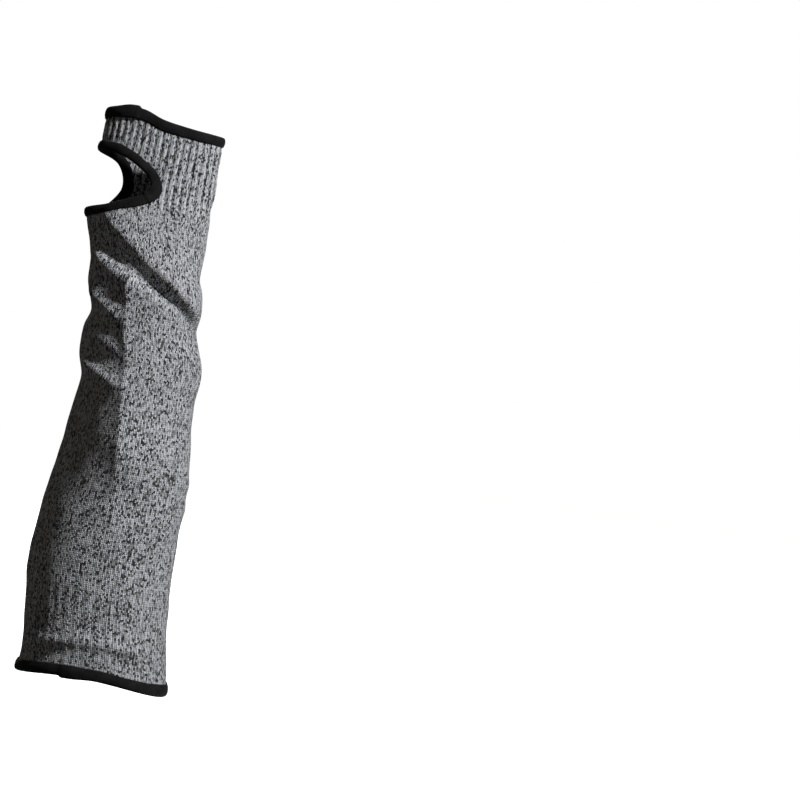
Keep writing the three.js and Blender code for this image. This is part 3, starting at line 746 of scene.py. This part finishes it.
class Nodes:
    """A short way to build a node tree: each call makes one node and gives its first output."""

    def __init__(self, tree):
        self.tree = tree
        tree.nodes.clear()

    def add(self, kind, inputs=None, output=0, **settings):
        node = self.tree.nodes.new(kind)
        for key, value in settings.items():
            setattr(node, key, value)
        for key, value in (inputs or {}).items():
            if isinstance(value, bpy.types.NodeSocket):
                self.tree.links.new(value, node.inputs[key])
            else:
                node.inputs[key].default_value = value
        return node.outputs[output] if node.outputs else node

    def math(self, operation, a, b=0.0, c=0.0):
        return self.add("ShaderNodeMath", {0: a, 1: b, 2: c}, operation=operation)

    def mix(self, factor, a, b):
        """Between two numbers or sockets of numbers."""
        return self.add("ShaderNodeMix", {0: factor, 2: a, 3: b}, data_type="FLOAT")

    def mix_colour(self, factor, a, b, blend="MIX"):
        return self.add("ShaderNodeMix", {0: factor, 6: a, 7: b}, output=2, data_type="RGBA",
                        blend_type=blend)

    def split(self, vector):
        node = self.tree.nodes.new("ShaderNodeSeparateXYZ")
        self.tree.links.new(vector, node.inputs[0])
        return node.outputs

    def join(self, x, y, z=0.0):
        return self.add("ShaderNodeCombineXYZ", {0: x, 1: y, 2: z})

    def noise(self, vector, scale, detail=2.0, roughness=0.5):
        return self.add("ShaderNodeTexNoise", {
            "Vector": vector, "Scale": scale, "Detail": detail, "Roughness": roughness})

    def ramp(self, factor, low, high):
        """A smooth rise from 0 at low to 1 at high."""
        return self.add("ShaderNodeMapRange", {0: factor, 1: low, 2: high, 3: 0.0, 4: 1.0},
                        interpolation_type="SMOOTHSTEP")


def new_group(name, inputs, outputs):
    """A shader node group with named inputs, given as name to default, and named outputs."""
    tree = bpy.data.node_groups.new(name, "ShaderNodeTree")
    nodes = Nodes(tree)
    for socket, default in inputs.items():
        kind = "NodeSocketVector" if default is None else "NodeSocketFloat"
        made = tree.interface.new_socket(name=socket, in_out="INPUT", socket_type=kind)
        if default is not None:
            made.default_value = default
    for socket in outputs:
        tree.interface.new_socket(name=socket, in_out="OUTPUT", socket_type="NodeSocketFloat")
    given = tree.nodes.new("NodeGroupInput").outputs
    made = tree.nodes.new("NodeGroupOutput").inputs
    return tree, nodes, given, made


def knit_loops_group():
    """Columns of knitted loops. Loops counts columns in X and rows in Y.

    Each stitch is two slanting legs of yarn. Run is for how many rows a strand stays on top.
    Height is the yarn's relief, Strand a random number for each such stretch, Gap the dark between
    the legs and Groove the furrow between the columns."""
    tree, nodes, given, made = new_group(
        "Knit Loops", {"Loops": None, "Slant": 0.9, "Waver": 0.3, "Run": 1.05},
        ("Height", "Strand", "Gap", "Groove"))
    waver = nodes.noise(given["Loops"], 0.55, 2.0)
    shift = nodes.math("MULTIPLY", nodes.math("SUBTRACT", waver, 0.5), given["Waver"])
    x, y, _ = nodes.split(given["Loops"])
    x = nodes.math("ADD", x, shift)
    y = nodes.math("ADD", y, nodes.math("MULTIPLY", shift, 1.7))
    column = nodes.math("FLOOR", x)
    side = nodes.math("SUBTRACT", nodes.math("FRACT", x), 0.5)
    away = nodes.math("ABSOLUTE", side)
    slanted = nodes.math("SUBTRACT", y, nodes.math("MULTIPLY", away, given["Slant"]))
    along = nodes.math("FRACT", slanted)
    leg = nodes.math("MULTIPLY_ADD", column, 2.0, nodes.math("GREATER_THAN", side, 0.0))
    start = nodes.add("ShaderNodeTexWhiteNoise", {"W": leg}, noise_dimensions="1D")
    stretch = nodes.math("ADD", nodes.math("DIVIDE", slanted, given["Run"]), start)
    random = nodes.add("ShaderNodeTexWhiteNoise", {
        "Vector": nodes.join(leg, nodes.math("FLOOR", stretch))}, noise_dimensions="2D")
    off = nodes.math("MULTIPLY", nodes.math("SUBTRACT", away, 0.25), 4.0)
    across = nodes.math("SUBTRACT", 1.0, nodes.math("MULTIPLY", off, off))
    bow = nodes.math("SINE", nodes.math("MULTIPLY", along, math.pi))
    round_leg = nodes.math("SQRT", nodes.math("MAXIMUM", across, 0.0))
    height = nodes.math("MULTIPLY", round_leg, nodes.mix(bow, 0.45, 1.0))
    links = tree.links
    links.new(height, made["Height"])
    links.new(random, made["Strand"])
    # Gap and Groove mark where the knit material paints shade: where the legs meet and between the
    # columns.
    links.new(nodes.ramp(height, 0.75, 0.2), made["Gap"])
    links.new(nodes.ramp(away, 0.26, 0.48), made["Groove"])
    return tree


def new_material(name):
    """A material whose node tree is empty, and the nodes to build it with."""
    material = bpy.data.materials.new(name)
    material.use_nodes = True
    return material, Nodes(material.node_tree)


def knitted_loops(nodes, where, **inputs):
    """The outputs of the loops' group at these coordinates. The group is made on first use."""
    tree = bpy.data.node_groups.get("Knit Loops") or knit_loops_group()
    return nodes.add("ShaderNodeGroup", {"Loops": where, **inputs}, node_tree=tree).node.outputs


def knit_material(finish, shape):
    """Heathered grey knit: pale, grey and dark strands the size of stitches, and ribbed ends."""
    material, nodes = new_material("heathered knit")
    where = nodes.add("ShaderNodeUVMap", uv_map="stitches")
    loops = knitted_loops(nodes, where)
    x, y, _ = nodes.split(where)

    # Which strand shows: mostly chance, in patches and short streaks along the rows.
    patches = nodes.noise(where, 0.11, 3.0, 0.6)
    streaks = nodes.noise(
        nodes.join(nodes.math("MULTIPLY", x, 0.05), nodes.math("MULTIPLY", y, 0.8)), 1.0, 2.0, 0.6)
    flecks = nodes.noise(
        nodes.join(nodes.math("MULTIPLY", x, 1.1), nodes.math("MULTIPLY", y, 0.6)), 1.0, 1.0, 0.5)
    flecked, patchy, streaky = 0.1, 0.3, 0.38  # how much each sways the choice of strand
    chance = nodes.math("ADD", nodes.math("MULTIPLY", loops["Strand"], 1 - flecked),
                        nodes.math("MULTIPLY", flecks, flecked))
    lean = nodes.math(
        "ADD", nodes.math("MULTIPLY", nodes.math("SUBTRACT", patches, 0.5), patchy),
        nodes.math("MULTIPLY", nodes.math("SUBTRACT", streaks, 0.5), streaky))

    # At the hand the ribs show paler strands than the furrows between them, whose darker strands
    # are painted shade, and the strands differ more.
    courses = shape.length / finish.course
    palm_start = courses * (1 - finish.palm_rib_length / shape.length)
    fade = finish.rib_fade / finish.course
    at_palm = nodes.ramp(y, palm_start, palm_start + fade)
    rib = nodes.math("COSINE", nodes.math("MULTIPLY", x, 2 * math.pi / finish.wales_per_rib))
    between = nodes.ramp(rib, 0.0, -0.95)
    crest_tone_and_furrow_shade = nodes.mix(between, 0.1, -0.15)
    lean = nodes.math("ADD", lean, nodes.math("MULTIPLY", at_palm, crest_tone_and_furrow_shade))
    strand = nodes.math("ADD", chance, lean)
    spread = nodes.mix(at_palm, 1.0, 1.45)
    strand = nodes.math("MULTIPLY_ADD", nodes.math("SUBTRACT", strand, 0.5), spread, 0.5)
    dark = (*finish.dark_yarn, 1)
    grey = (*finish.grey_yarn, 1)
    pale = (*finish.pale_yarn, 1)
    colour = nodes.mix_colour(nodes.ramp(strand, 0.13, 0.31), dark, grey)
    colour = nodes.mix_colour(nodes.ramp(strand, 0.25, 0.85), colour, pale)
    # Painted shade: darker where the legs of a stitch meet and in the furrow between the columns.
    shade = nodes.math("MULTIPLY", nodes.mix(loops["Gap"], 1.0, 0.35),
                       nodes.mix(loops["Groove"], 1.0, 0.5))

    # Painted shade darkens both ribbed ends between the ribs, the elbow's less so, and painted
    # light makes the hand's end paler overall.
    elbow_end = courses * finish.elbow_rib_length / shape.length
    at_elbow = nodes.math("MULTIPLY", nodes.ramp(y, elbow_end, elbow_end - fade), 0.45)
    ribbed = nodes.math("MULTIPLY", nodes.math("MAXIMUM", at_palm, at_elbow), between)
    shade = nodes.math("MULTIPLY", shade, nodes.mix(ribbed, 1.0, 0.6))
    # Painted light: the hand's ribbed end is made paler overall.
    shade = nodes.math("MULTIPLY", shade, nodes.mix(at_palm, 1.0, 1.12))
    colour = nodes.mix_colour(1.0, colour, nodes.join(shade, shade, shade), "MULTIPLY")

    fibre = nodes.noise(where, 9.0, 3.0, 0.7)
    height = nodes.math("ADD", loops["Height"], nodes.math("MULTIPLY", fibre, 0.35))
    bump = nodes.add("ShaderNodeBump", {
        "Strength": 0.85, "Distance": finish.stitch_relief, "Height": height})
    surface = nodes.add("ShaderNodeBsdfPrincipled", {
        "Base Color": colour, "Roughness": 0.9, "Normal": bump, "Sheen Weight": 0.12,
        "Sheen Roughness": 0.5, "Specular IOR Level": 0.2})
    nodes.add("ShaderNodeOutputMaterial", {"Surface": surface})
    return material


def tape_material(tape):
    """Black knit tape, with a little grey on its raised loops."""
    material, nodes = new_material("black tape")
    where = nodes.add("ShaderNodeUVMap", uv_map="stitches")
    loops = knitted_loops(nodes, where, Slant=0.8, Waver=0.15)
    wear = nodes.noise(where, 0.08, 4.0, 0.6)
    raised = nodes.math("MULTIPLY", loops["Height"], nodes.ramp(wear, 0.35, 0.7))
    raised = nodes.math("MULTIPLY", raised, nodes.mix(loops["Strand"], 0.5, 1.0))
    colour = nodes.mix_colour(raised, (*tape.colour, 1), (*tape.worn_colour, 1))
    bump = nodes.add("ShaderNodeBump", {
        "Strength": 0.6, "Distance": tape.loop_relief, "Height": loops["Height"]})
    surface = nodes.add("ShaderNodeBsdfPrincipled", {
        "Base Color": colour, "Roughness": 0.8, "Normal": bump, "Sheen Weight": 0.05,
        "Sheen Roughness": 0.4, "Specular IOR Level": 0.12})
    nodes.add("ShaderNodeOutputMaterial", {"Surface": surface})
    return material


def seat(piece, node):
    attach(piece, BODY)
    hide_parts(node)


class SLEEVE_OT_knit(bpy.types.Operator):
    """Knit the tube with its ribbed ends, folds and thumb hole"""

    bl_idname = "sleeve.knit"
    bl_label = "Knit"

    def execute(self, context):
        scene = context.scene
        knit = WornKnit(scene.sleeve_shape)
        material = knit_material(scene.sleeve_knit, scene.sleeve_shape)
        piece = make_knit(knit, scene.sleeve_knit, scene.sleeve_tape, material)
        seat(piece, "knit_sleeve")
        return {"FINISHED"}


class SLEEVE_OT_tapes(bpy.types.Operator):
    """Sew the three tapes over the raw edges"""

    bl_idname = "sleeve.tapes"
    bl_label = "Edge tapes"

    def execute(self, context):
        scene = context.scene
        knit = WornKnit(scene.sleeve_shape)
        tape = scene.sleeve_tape
        material = tape_material(tape)
        for row in (
            Tape("finger_binding", "finger_tape", 0.915, 0.8, end_places(knit, 1), 0.4),
            Tape("thumb_binding", "thumb_tape", 0.35, 0.27, hole_places(knit), 1.7),
            Tape("elbow_binding", "elbow_tape", 0.94, 1.03, end_places(knit, 0), 2.9),
        ):
            seat(make_tape(row, knit, tape, material), row.node)
        return {"FINISHED"}


class SLEEVE_OT_stage(bpy.types.Operator):
    """Set up the ground, the light and the camera"""

    bl_idname = "sleeve.stage"
    bl_label = "Stage"

    def execute(self, context):
        scene = context.scene
        stage = scene.sleeve_stage
        self.add_ground(stage)
        self.add_light(scene, stage)
        self.add_camera(scene, stage)
        scene.view_settings.view_transform = "Standard"
        return {"FINISHED"}

    @staticmethod
    def add_ground(stage):
        half = stage.ground_size / 2
        low = CAD_BOX[0][2] - stage.ground_gap
        corners = [(-half, -half, low), (half, -half, low), (half, half, low), (-half, half, low)]
        ground = new_object("ground", corners, [(0, 1, 2, 3)])
        material, nodes = new_material("ground")
        surface = nodes.add("ShaderNodeBsdfPrincipled", {
            "Base Color": (*stage.ground_colour, 1), "Roughness": 0.9,
            "Emission Color": (1, 1, 1, 1), "Emission Strength": stage.ground_glow})
        nodes.add("ShaderNodeOutputMaterial", {"Surface": surface})
        ground.data.materials.append(material)
        ground.visible_diffuse = False
        ground.visible_glossy = False

    @staticmethod
    def add_light(scene, stage):
        flat = math.cos(stage.key_height)
        key_way = Vector((
            flat * math.sin(stage.key_turn), -flat * math.cos(stage.key_turn),
            math.sin(stage.key_height)))
        centre = Vector((0.0, 0.0, stage.lit_height))
        for row in (
            Lamp("key", key_way, stage.key_distance, stage.key_size, stage.key_power),
            Lamp("back", Vector(stage.back_way), stage.back_distance, stage.back_size,
                 stage.back_power),
        ):
            data = bpy.data.lights.new(row.name, "AREA")
            data.shape = "DISK"
            data.size = row.size
            data.energy = row.power
            lamp = bpy.data.objects.new(row.name, data)
            lamp.location = centre + row.away * row.way.normalized()
            lamp.rotation_euler = (centre - lamp.location).to_track_quat("-Z", "Y").to_euler()
            scene.collection.objects.link(lamp)
        world = bpy.data.worlds.new("studio")
        world.use_nodes = True
        nodes = Nodes(world.node_tree)
        seen = nodes.add("ShaderNodeLightPath", output=0)
        around = nodes.add("ShaderNodeBackground", {
            "Color": (*stage.ambience_colour, 1), "Strength": stage.ambience})
        behind = nodes.add("ShaderNodeBackground", {"Color": (1, 1, 1, 1), "Strength": 1.0})
        both = nodes.add("ShaderNodeMixShader", {0: seen, 1: around, 2: behind})
        nodes.add("ShaderNodeOutputWorld", {"Surface": both})
        scene.world = world

    @staticmethod
    def add_camera(scene, stage):
        data = bpy.data.cameras.new("camera")
        data.sensor_width = 36.0
        data.lens = data.sensor_width * stage.camera_distance / stage.view_width
        camera = bpy.data.objects.new("camera", data)
        right = Vector((math.cos(stage.lean), 0.0, math.sin(stage.lean)))
        up = Vector((-math.sin(stage.lean), 0.0, math.cos(stage.lean)))
        back = right.cross(up)
        place = Vector(stage.aim) + back * stage.camera_distance
        turned = Matrix((right, up, back)).transposed().to_4x4()
        camera.matrix_world = Matrix.Translation(place) @ turned
        scene.collection.objects.link(camera)
        scene.camera = camera


class SLEEVE_PT_panel(bpy.types.Panel):
    """The sleeve's pieces"""

    bl_label = "Arm Sleeve"
    bl_space_type = "VIEW_3D"
    bl_region_type = "UI"
    bl_category = "Arm Sleeve"

    def draw(self, context):
        layout = self.layout
        for operator in PIECES:
            layout.operator(operator.bl_idname)
        for group in GROUPS:
            box = layout.box()
            values = getattr(context.scene, group)
            for name in values.bl_rna.properties.keys():
                if name not in ("rna_type", "name"):
                    box.prop(values, name)


PIECES = (SLEEVE_OT_knit, SLEEVE_OT_tapes, SLEEVE_OT_stage)
GROUPS = {
    "sleeve_shape": SleeveShape,
    "sleeve_knit": KnitFinish,
    "sleeve_tape": TapeFinish,
    "sleeve_stage": StageLight,
}
CLASSES = (*GROUPS.values(), *PIECES, SLEEVE_PT_panel)


def register():
    for cls in CLASSES:
        bpy.utils.register_class(cls)
    for name, group in GROUPS.items():
        setattr(bpy.types.Scene, name, PointerProperty(type=group))


def unregister():
    for name in GROUPS:
        delattr(bpy.types.Scene, name)
    for cls in reversed(CLASSES):
        bpy.utils.unregister_class(cls)


def main():
    register()
    bpy.ops.sleeve.knit()
    bpy.ops.sleeve.tapes()
    bpy.ops.sleeve.stage()


if __name__ == "__main__":
    main()
